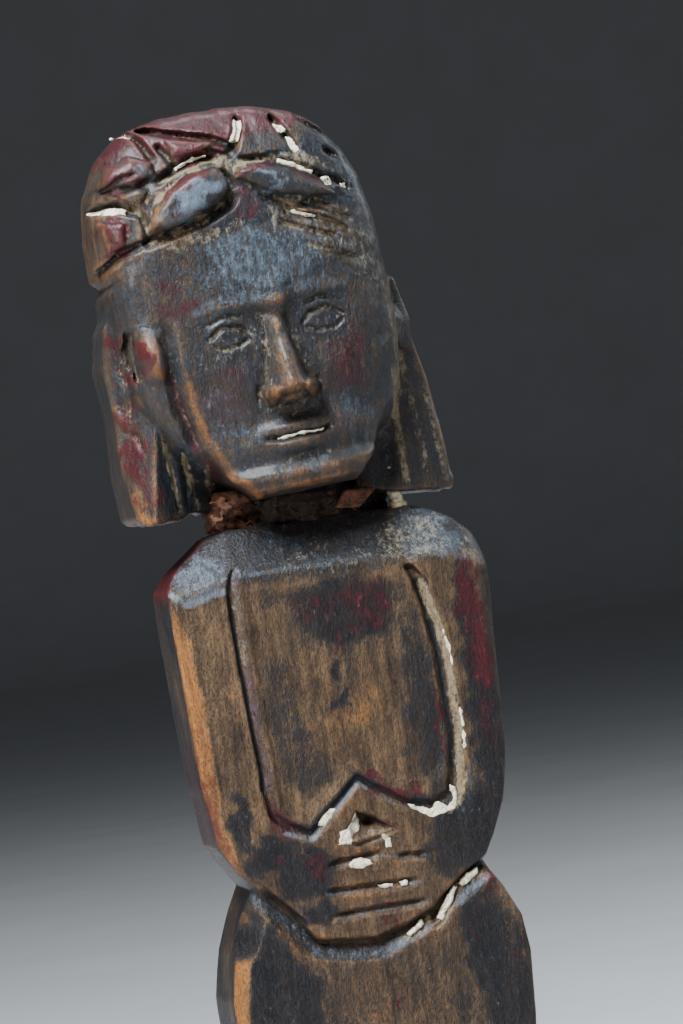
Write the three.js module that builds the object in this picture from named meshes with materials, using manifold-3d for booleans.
// Carved ancestor figure: a small painted wooden figure that stands on its own plinth, hands folded on the belly.
// The body and the head are two blocks of wood. A dowel, a collar of brown filler and one run of glue join them.
// White lime paste fills parts of the knife cuts, and each piece of it is a small solid of its own.
// Millimetres, +Z up. The figure looks along -Y. The origin is the middle of the plinth's underside.

import * as THREE from "three";
import { ConvexGeometry } from "three/addons/geometries/ConvexGeometry.js";
import { mergeVertices } from "three/addons/utils/BufferGeometryUtils.js";
import Module from "manifold-3d";

const wasm = await Module();
wasm.setup();

// ---- Driving dimensions ----------------------------------------------------------------------------------------

const WAIST_Z = 55; // the notch between the folded arms and the hips
const SHOULDER_Z = 30; // top of the neck stump above the waist
const FRONT = 6.5; // depth of the flat front face in front of the middle plane
const PLINTH = { halfX: 16, halfY: 12, height: 8, corner: 3 };
const LEG_SLOT = { halfTop: 1.2, halfFoot: 1.9, topZ: -17 };
const HEAD_TILT = THREE.MathUtils.degToRad(-4.9); // the head leans to the figure's right
const HEAD_SHIFT = { x: -0.6, y: 0.8 };
const DOWEL = { radius: 2.2, below: 8, above: 8 };
const BORE_CLEARANCE = 0.3;
const FILLER = { halfX: 6.6, halfY: 3.2, bottom: 30.3, top: 32.1 };
const CAP = { middle: [-1.1, 1.4, 20.3], radii: [11.9, 9.6, 15.2], squareness: 3.4 };
const FACE_FRONT = 8; // depth of the face plane in the head's own frame
const GROOVE = { halfWidth: 0.8, depth: 0.9 };
const FINE_GROOVE = { halfWidth: 0.55, depth: 0.65 };
const WIDE_BEVEL = { halfWidth: 1.4, depth: 0.7 };
const LIME_GAP = 0.1; // air between a piece of lime and the walls of its cut
const LIME_PROUD = 0.08; // how far the lime stands out of its cut
const CUT_PROUD = 0.4; // how far a cutter reaches outside the wood
const KNOT_PROUD = 0.9; // how far a leaf of the headcloth stands out of the cap

const WOOD = { color: 0x6b4a2b, roughness: 0.55, metalness: 0 };
const LIME = { color: 0xd8d2b8, roughness: 0.95, metalness: 0 };
const FILLER_BROWN = { color: 0x4a2814, roughness: 0.95, metalness: 0 };
const GLUE = { color: 0xb8aa8a, roughness: 0.3, metalness: 0 };
const DOWEL_WOOD = { color: 0xb08a58, roughness: 0.7, metalness: 0 };

// ---- Solids ----------------------------------------------------------------------------------------------------

const AXIS_X = new THREE.Vector3(1, 0, 0);
const AXIS_Y = new THREE.Vector3(0, 1, 0);
const AXIS_Z = new THREE.Vector3(0, 0, 1);
const TO_FRONT = AXIS_Y.clone().negate();
// How an outline's two coordinates and its extrusion lie in the part's frame.
const FRONT_VIEW = new THREE.Matrix4().makeBasis(AXIS_X, AXIS_Z, TO_FRONT);
const SIDE_VIEW = new THREE.Matrix4().makeBasis(AXIS_Y, AXIS_Z, AXIS_X);
const PLAN_VIEW = new THREE.Matrix4();

/** A closed three.js geometry as a solid that can be joined and cut. */
function solidFrom(geometry) {
  const bare = geometry.index ? geometry.toNonIndexed() : geometry.clone();
  Object.keys(bare.attributes)
    .filter((name) => name !== "position")
    .forEach((name) => bare.deleteAttribute(name));
  const merged = mergeVertices(bare, 1e-4);
  const mesh = new wasm.Mesh({
    numProp: 3,
    vertProperties: merged.attributes.position.array,
    triVerts: new Uint32Array(merged.index.array),
  });
  return new wasm.Manifold(mesh);
}

/** A solid as a three.js geometry. */
function geometryFrom(solid) {
  const mesh = solid.getMesh();
  return new THREE.BufferGeometry()
    .setAttribute("position", new THREE.BufferAttribute(mesh.vertProperties, 3))
    .setIndex(new THREE.BufferAttribute(mesh.triVerts, 1));
}

/** One solid out of several that overlap. */
function joined(...solids) {
  return solids.reduce((whole, next) => whole.add(next));
}

/** Extrudes an outline, seen in one of the views, from one depth to another. */
function prism(outline, view, from, to) {
  const shape = new THREE.Shape(outline.map(([a, b]) => new THREE.Vector2(a, b)));
  const geometry = new THREE.ExtrudeGeometry(shape, { depth: to - from, bevelEnabled: false });
  return solidFrom(geometry.translate(0, 0, from).applyMatrix4(view));
}

/** Points of a smooth curve through a few points. */
function smooth(points, steps = 4) {
  const curve = new THREE.SplineCurve(points.map(([a, b]) => new THREE.Vector2(a, b)));
  return curve.getPoints(steps * (points.length - 1)).map((p) => [p.x, p.y]);
}

/** An outline that is the same on both sides of the middle, from its right side, listed from top to bottom. */
function mirrored(rightSide) {
  const leftSide = rightSide.map(([x, z]) => [-x, z]).reverse();
  return [...rightSide, ...leftSide];
}

/** A rounded ellipsoid. Squareness 2 is a plain ellipsoid, and more is closer to a box. */
function roundedBlock({ middle, radii, squareness }, segments = 28) {
  const geometry = new THREE.SphereGeometry(1, segments, Math.round(segments * 0.7));
  const position = geometry.attributes.position;
  for (let i = 0; i < position.count; i++) {
    const way = new THREE.Vector3().fromBufferAttribute(position, i);
    const size = [way.x, way.y, way.z].reduce((sum, w, k) => sum + Math.abs(w / radii[k]) ** squareness, 0);
    way.multiplyScalar(size ** (-1 / squareness));
    position.setXYZ(i, way.x, way.y, way.z);
  }
  return solidFrom(geometry.translate(...middle));
}

/** The point of a rounded block's front that lies at (x, z), with its outward normal. */
function onFront({ middle, radii, squareness }, [x, z]) {
  const across = (x - middle[0]) / radii[0];
  const up = (z - middle[2]) / radii[2];
  const forward = (1 - Math.abs(across) ** squareness - Math.abs(up) ** squareness) ** (1 / squareness);
  const slope = (share, radius) => (Math.sign(share) * Math.abs(share) ** (squareness - 1)) / radius;
  return {
    point: new THREE.Vector3(x, middle[1] - forward * radii[1], z),
    normal: new THREE.Vector3(slope(across, radii[0]), -slope(forward, radii[1]), slope(up, radii[2])).normalize(),
  };
}

/** A point of a flat face that looks along -Y, with its normal. */
function onFlat(depth, [x, z]) {
  return { point: new THREE.Vector3(x, -depth, z), normal: TO_FRONT.clone() };
}

/** A round V-shaped pit at one station of a cut. */
function vPit({ point, normal }, { halfWidth, depth }, proud) {
  const radius = (halfWidth * (depth + proud)) / depth;
  const geometry = new THREE.ConeGeometry(radius, depth + proud, 10);
  const turn = new THREE.Quaternion().setFromUnitVectors(AXIS_Y, normal.clone().negate());
  geometry.applyQuaternion(turn);
  const middle = point.clone().addScaledVector(normal, (proud - depth) / 2);
  return solidFrom(geometry.translate(middle.x, middle.y, middle.z));
}

/** A straight stretch of V-shaped cut between two stations. */
function vStretch(a, b, { halfWidth, depth }, proud) {
  const along = b.point.clone().sub(a.point);
  const length = along.length();
  along.normalize();
  const normal = a.normal.clone().add(b.normal);
  normal.addScaledVector(along, -normal.dot(along)).normalize();
  const across = normal.clone().cross(along);
  const top = (halfWidth * (depth + proud)) / depth;
  const shape = new THREE.Shape([
    new THREE.Vector2(-top, proud),
    new THREE.Vector2(0, -depth),
    new THREE.Vector2(top, proud),
  ]);
  const geometry = new THREE.ExtrudeGeometry(shape, { depth: length, bevelEnabled: false });
  const place = new THREE.Matrix4().makeBasis(across, normal, along).setPosition(a.point);
  return solidFrom(geometry.applyMatrix4(place));
}

/** The solid that a V-shaped knife cut takes away along its stations. */
function vCut(stations, section, proud = CUT_PROUD) {
  const pits = stations.map((station) => vPit(station, section, proud));
  const stretches = stations.slice(1).map((b, i) => vStretch(stations[i], b, section, proud));
  return joined(...pits, ...stretches);
}

/** The lime that lies in a V-shaped cut, clear of its walls. */
function limeIn(stations, section) {
  const half = Math.atan(section.halfWidth / section.depth);
  const inset = {
    halfWidth: section.halfWidth - LIME_GAP / Math.cos(half),
    depth: section.depth - LIME_GAP / Math.sin(half),
  };
  return vCut(stations, inset, LIME_PROUD);
}

/** A named mesh with its own material. */
function part(name, solid, finish) {
  const mesh = new THREE.Mesh(geometryFrom(solid), new THREE.MeshStandardMaterial(finish));
  mesh.name = name;
  return mesh;
}

// ---- Body: one block, with heights measured from the waist --------------------------------------------------------

const body = new THREE.Group();
body.position.z = WAIST_Z;
const floorZ = -WAIST_Z;
const plinthTop = floorZ + PLINTH.height;

const bodyFront = mirrored([
  [7.0, SHOULDER_Z],
  [9.4, 29.3],
  [12.9, 26.6],
  ...smooth([[13.5, 24], [13.3, 16], [12.8, 8], [11.9, 3.6], [9.6, 0], [11.1, -3], [12.4, -8]]),
  ...smooth([[12.3, -13], [11.2, -21], [10.2, -28], [9.2, -34], [8.0, -41], [8.8, -45], [9.2, plinthTop - 1]]),
]);
const bodySide = [
  [-3.2, SHOULDER_Z],
  [-FRONT, 24.8],
  [-FRONT, -10],
  ...smooth([[-7.0, -16], [-7.9, -25], [-6.2, -33], [-5.2, -41], [-6.6, -43.6], [-9.4, -45.8]]),
  [-9.6, plinthTop - 1],
  [4.8, plinthTop - 1],
  ...smooth([[4.6, -44], [4.0, -40], [5.6, -33], [4.4, -26], [6.2, -18], [8.0, -10], [6.6, -4], [5.0, 1]]),
  ...smooth([[5.6, 6], [6.6, 14], [6.5, 25]]),
  [3.8, SHOULDER_Z],
];

/** The plinth that the feet stand on, a block with cut corners. */
function plinthBlock() {
  const { halfX, halfY, corner, height } = PLINTH;
  const plan = mirrored([
    [halfX - corner, halfY],
    [halfX, halfY - corner],
    [halfX, corner - halfY],
    [halfX - corner, -halfY],
  ]);
  return prism(plan, PLAN_VIEW, floorZ, floorZ + height);
}

/** The slot between the legs. */
function legSlot() {
  const { halfTop, halfFoot, topZ } = LEG_SLOT;
  return prism(mirrored([[halfTop, topZ], [halfFoot, plinthTop]]), FRONT_VIEW, -12, 12);
}

const front = (points) => points.map((p) => onFlat(FRONT, p));
const armLine = front([
  [-8.2, 25.6], [-8.2, 20], [-7.7, 12], [-7.2, 6.8], [-6.6, 5.3], [-4.5, 4.2], [0, 8.3],
  [3.1, 6.2], [5.4, 5.5], [8.0, 6.4], [9.2, 9.2], [9.3, 15], [9.0, 18.5], [8.4, 22.9], [7.5, 25.6],
]);
const handBorder = front([[-10.3, 1.2], [-5.3, -4.6], [-1.8, -5.1], [1.5, -4.6], [5, -3], [7.5, -1.2], [10.3, -0.4]]);
const handBevel = handBorder.slice(1, -1).map(({ point, normal }) => ({
  point: point.clone().add(new THREE.Vector3(0, 0, -0.9)),
  normal,
}));
const thumbCut = front([[-2.2, 3.1], [-0.6, 5.2], [2.7, 3.5], [-2.2, 3.1]]);
const fingerLines = [
  [[-3.4, 1.3], [5.2, 1.5]],
  [[-4.1, -0.9], [3.8, -0.8]],
  [[-3.7, -2.9], [4.3, -2.5]],
].map(front);
const dowelBore = (radius, bottom, top) => {
  const bore = new THREE.CylinderGeometry(radius, radius, top - bottom, 24).rotateX(Math.PI / 2);
  return solidFrom(bore.translate(0, 0, (top + bottom) / 2));
};

/** The long bevels down the four edges of the block, seen from above. */
const edgeBevels = mirrored([
  [11.2, 8.5],
  [13.6, 5],
  [13.6, -3.6],
  [11.0, -FRONT - 0.2],
  [8.6, -10],
]);

/** The hollow that the knife left above the viewer's left hip. */
function hipScoop() {
  const scoop = new THREE.SphereGeometry(1, 20, 14).scale(3.4, 5.5, 2.6);
  return solidFrom(scoop.translate(-13.2, -5.6, -3.6));
}

/** The three-cornered pocket between the thumbs, deepest under its upper corner. */
function thumbPocket() {
  const [left, top, right] = thumbCut.map(({ point }) => point);
  const deep = new THREE.Vector3(0.3, 1 - FRONT, 4.4);
  const proud = (corner) => corner.clone().setY(-FRONT - CUT_PROUD);
  const corners = [deep, proud(left), proud(top), proud(right)];
  return solidFrom(new ConvexGeometry(corners));
}

const bodyBlock = prism(bodyFront, FRONT_VIEW, -12, 12)
  .intersect(prism(bodySide, SIDE_VIEW, -16, 16))
  .intersect(prism(edgeBevels, PLAN_VIEW, floorZ, SHOULDER_Z + 1))
  .subtract(legSlot())
  .add(plinthBlock())
  .subtract(dowelBore(DOWEL.radius + BORE_CLEARANCE, SHOULDER_Z - DOWEL.below - BORE_CLEARANCE, SHOULDER_Z + 1));
const bodyCuts = joined(
  vCut(armLine, GROOVE),
  vCut(handBorder, GROOVE),
  vCut(handBevel, WIDE_BEVEL),
  hipScoop(),
  thumbPocket(),
  vCut(thumbCut, GROOVE),
  ...fingerLines.map((line) => vCut(line, FINE_GROOVE)),
);
body.add(part("body_carving", bodyBlock.subtract(bodyCuts), WOOD));
body.add(part("neck_dowel", dowelBore(DOWEL.radius, SHOULDER_Z - DOWEL.below, SHOULDER_Z + DOWEL.above), DOWEL_WOOD));

const bodyLime = {
  lime_right_arm_upper: [[9.0, 18.5], [9.15, 16.4]],
  lime_right_arm_lower: [[9.27, 13.4], [9.2, 9.4]],
  lime_right_elbow: [[8.6, 7.7], [8.0, 6.4], [5.4, 5.5]],
  lime_left_forearm: [[-2.8, 5.75], [-1.4, 7.03]],
  lime_thumb_left: [[-1.9, 3.5], [-0.9, 4.8]],
  lime_thumb_right: [[1.5, 3.95], [2.5, 3.57]],
  lime_hand_border: [[3.2, -3.82], [4.3, -3.32]],
  lime_hand_border_upper: [[5.8, -2.42], [6.3, -2.06]],
  lime_waist_notch: [[8.0, -1.06], [9.0, -0.77]],
};
const fingerLime = {
  lime_finger_1: [[-1.5, 1.34], [0.4, 1.4]],
  lime_finger_2_inner: [[1.0, -0.83], [1.6, -0.82]],
  lime_finger_2_outer: [[2.85, -0.81], [3.2, -0.8]],
};
for (const [name, path] of Object.entries(bodyLime)) {
  body.add(part(name, limeIn(front(path), GROOVE), LIME));
}
for (const [name, path] of Object.entries(fingerLime)) {
  body.add(part(name, limeIn(front(path), FINE_GROOVE), LIME));
}

/** The collar of filler round the dowel, between the stump and the head, with the chip of wood stuck in its front. */
function fillerCollar() {
  const { halfX, halfY, bottom, top } = FILLER;
  const corner = halfY * 0.6;
  const plan = mirrored([
    [halfX - corner, halfY],
    [halfX, halfY - corner],
    [halfX, corner - halfY],
    [halfX - corner, -halfY],
  ]);
  const chip = prism([[1.6, 30.9], [2.6, 31.9], [5.2, 31.7], [3.4, 30.6]], FRONT_VIEW, 2.6, 4.4);
  const collar = prism(plan, PLAN_VIEW, bottom, top).add(chip);
  return collar.subtract(dowelBore(DOWEL.radius + BORE_CLEARANCE, bottom - 1, top + 1));
}
body.add(part("neck_filler", fillerCollar(), FILLER_BROWN));

/** The run of glue at the side of the neck: a short waisted drop that spreads on the shoulder. */
function glueRun() {
  const profile = [[0, 0], [1.0, 0], [0.75, 0.35], [0.5, 0.9], [0.45, 1.5], [0, 1.5]];
  const drop = new THREE.LatheGeometry(profile.map(([r, z]) => new THREE.Vector2(r, z)), 14);
  return solidFrom(drop.rotateX(Math.PI / 2).translate(8.2, -0.6, SHOULDER_Z + 0.15));
}
body.add(part("neck_glue_run", glueRun(), GLUE));

// ---- Head: the second block, in a frame of its own that leans over the neck --------------------------------------

const head = new THREE.Group();
head.position.set(HEAD_SHIFT.x, HEAD_SHIFT.y, WAIST_Z + SHOULDER_Z);
head.rotation.y = HEAD_TILT;
head.updateMatrix();

const faceOutline = mirrored([
  ...smooth([[7.6, 24], [8.9, 19], [8.8, 14], [7.9, 9], [6.0, 4.6], [3.6, 2.6]]),
]);
const faceSide = [
  [-6.6, 25],
  [-FACE_FRONT, 21],
  [-FACE_FRONT, 4],
  [-6.6, 2.5],
  [4, 2.5],
  [4, 25],
];
const noseSide = [[-FACE_FRONT + 1, 18.6], [-FACE_FRONT - 0.9, 17.4], [-FACE_FRONT - 2.4, 11.4], [-FACE_FRONT + 1, 10.2]];
const noseFront = mirrored([[0.9, 19], [1.0, 15], [1.9, 12], [2.0, 10]]);
const lappetFront = [[8.0, 17], [12.3, 16.5], [12.7, 12.5], [13.5, 2.6], [13.1, 1.9], [8.2, 2.1]];
const lappetSide = [[-2.4, 18], [-3.2, 10], [-4.2, 2.4], [6.5, 1.6], [7.8, 10], [7.0, 18]];
const earSide = smooth([[-3.4, 19.6], [-4.2, 16.5], [-3.2, 12.6], [-1.2, 10.6], [0.6, 13.4], [1.2, 17.6], [-1, 20.4]], 3);

/** One side's hanging lappet with the ear on it. side is 1 for the viewer's right and -1 for the left. */
function lappetWithEar(side) {
  const outline = lappetFront.map(([x, z]) => [side * x, z]);
  const lappet = prism(outline, FRONT_VIEW, -12, 12).intersect(prism(lappetSide, SIDE_VIEW, -16, 16));
  const [near, far] = side > 0 ? [10, 13] : [-13, -10];
  return lappet.add(prism(earSide, SIDE_VIEW, near, far));
}

/** A leaf-shaped fold of the headcloth on the front of the cap. */
function headclothLeaf({ at, long, wide, rise }) {
  const leaf = new THREE.SphereGeometry(1, 20, 14).scale(long, 2 * KNOT_PROUD, wide);
  leaf.rotateY(THREE.MathUtils.degToRad(-rise));
  const { point, normal } = onFront(CAP, at);
  const middle = point.addScaledVector(normal, -KNOT_PROUD);
  return solidFrom(leaf.translate(middle.x, middle.y, middle.z));
}

const headBlock = joined(
  roundedBlock(CAP),
  prism(faceOutline, FRONT_VIEW, -12, 12).intersect(prism(faceSide, SIDE_VIEW, -16, 16)),
  prism(noseFront, FRONT_VIEW, -12, 12).intersect(prism(noseSide, SIDE_VIEW, -16, 16)),
  lappetWithEar(1),
  lappetWithEar(-1),
  headclothLeaf({ at: [-4.9, 28.1], long: 4.3, wide: 1.8, rise: 27 }),
  headclothLeaf({ at: [3.2, 27.9], long: 4.3, wide: 1.2, rise: -20 }),
  headclothLeaf({ at: [-9.0, 31.0], long: 2.3, wide: 1.2, rise: 8 }),
);

const onCap = (points) => points.map((p) => onFront(CAP, p));
const onFace = (points) => points.map((p) => onFlat(FACE_FRONT, p));
const eye = (side) => onFace([[2.1, 15.7], [3.9, 16.6], [5.8, 15.7], [3.9, 14.9], [2.1, 15.7]].map(([x, z]) => [side * x, z]));
const capGrooves = {
  brow: [[-10.4, 25.0], [-8.0, 25.4], [-1.2, 25.9], [3.0, 25.4], [7.5, 24.2], [9.2, 23.2]],
  left_bar: [[-11.9, 28.9], [-10.4, 28.6], [-8.8, 27.8]],
  left_top: [[-8.4, 34.2], [-7.3, 33.2], [-6.8, 31.6]],
  top_long: [[-6.6, 34.0], [-3.4, 33.2], [0.0, 31.6]],
  top_bar: [[0.7, 33.8], [0.1, 31.9], [-0.8, 30.6]],
  above_knot: [[-6.1, 30.3], [-3.8, 31.0], [-1.6, 30.7]],
  right_upper: [[3.9, 33.1], [4.3, 31.9], [4.8, 30.3]],
  right_long: [[-0.1, 30.4], [2.9, 29.9], [5.9, 28.6], [7.8, 27.4]],
  right_outer: [[7.3, 30.0], [8.0, 29.0]],
  right_low: [[2.6, 25.9], [5.0, 25.1], [6.6, 24.0]],
  right_edge: [[7.6, 26.6], [8.5, 26.0]],
};
const headCuts = joined(
  ...Object.values(capGrooves).map((path) => vCut(onCap(path), GROOVE)),
  vCut(eye(1), FINE_GROOVE),
  vCut(eye(-1), FINE_GROOVE),
  vCut(onFace([[-3.0, 7.4], [0, 7.1], [3.0, 7.4]]), FINE_GROOVE),
);

// The dowel and the space for the filler, seen from the head's frame.
const toHead = head.matrix.clone().invert().multiply(new THREE.Matrix4().makeTranslation(0, 0, WAIST_Z));
const fromBody = (solid) => solidFrom(geometryFrom(solid).applyMatrix4(toHead));
const neckSpace = fromBody(
  prism([[-20, -20], [20, -20], [20, 20], [-20, 20]], PLAN_VIEW, 0, FILLER.top + BORE_CLEARANCE),
);
const headBore = fromBody(
  dowelBore(DOWEL.radius + BORE_CLEARANCE, SHOULDER_Z - 2, SHOULDER_Z + DOWEL.above + BORE_CLEARANCE),
);
const underCap = neckSpace.intersect(prism([[-8, -2], [8, -2], [8, 6], [-8, 6]], FRONT_VIEW, -12, 12));
head.add(part("head_carving", headBlock.subtract(headCuts).subtract(headBore).subtract(underCap), WOOD));

const headLime = {
  lime_cap_left_bar: [[-11.6, 28.84], [-10.4, 28.6]],
  lime_cap_top_bar: [[0.6, 33.5], [0.25, 32.4]],
  lime_cap_right_upper: [[4.0, 32.77], [4.08, 32.5]],
  lime_cap_right_middle: [[4.5, 31.26], [4.7, 30.6]],
  lime_cap_left_top: [[-8.2, 34.0], [-7.7, 33.56]],
  lime_cap_above_knot: [[-5.0, 30.63], [-3.9, 30.97]],
  lime_cap_right_long: [[3.4, 29.68], [5.1, 28.95]],
  lime_cap_right_low: [[3.6, 25.57], [4.7, 25.2]],
  lime_cap_right_outer: [[7.6, 29.57], [7.8, 29.29]],
  lime_cap_right_edge: [[7.9, 26.4], [8.2, 26.2]],
};
for (const [name, path] of Object.entries(headLime)) {
  head.add(part(name, limeIn(onCap(path), GROOVE), LIME));
}
head.add(part("lime_mouth_line", limeIn(onFace([[-1.6, 7.26], [0, 7.1], [1.2, 7.22]]), FINE_GROOVE), LIME));

const figure = new THREE.Group();
figure.add(body, head);

export default figure;
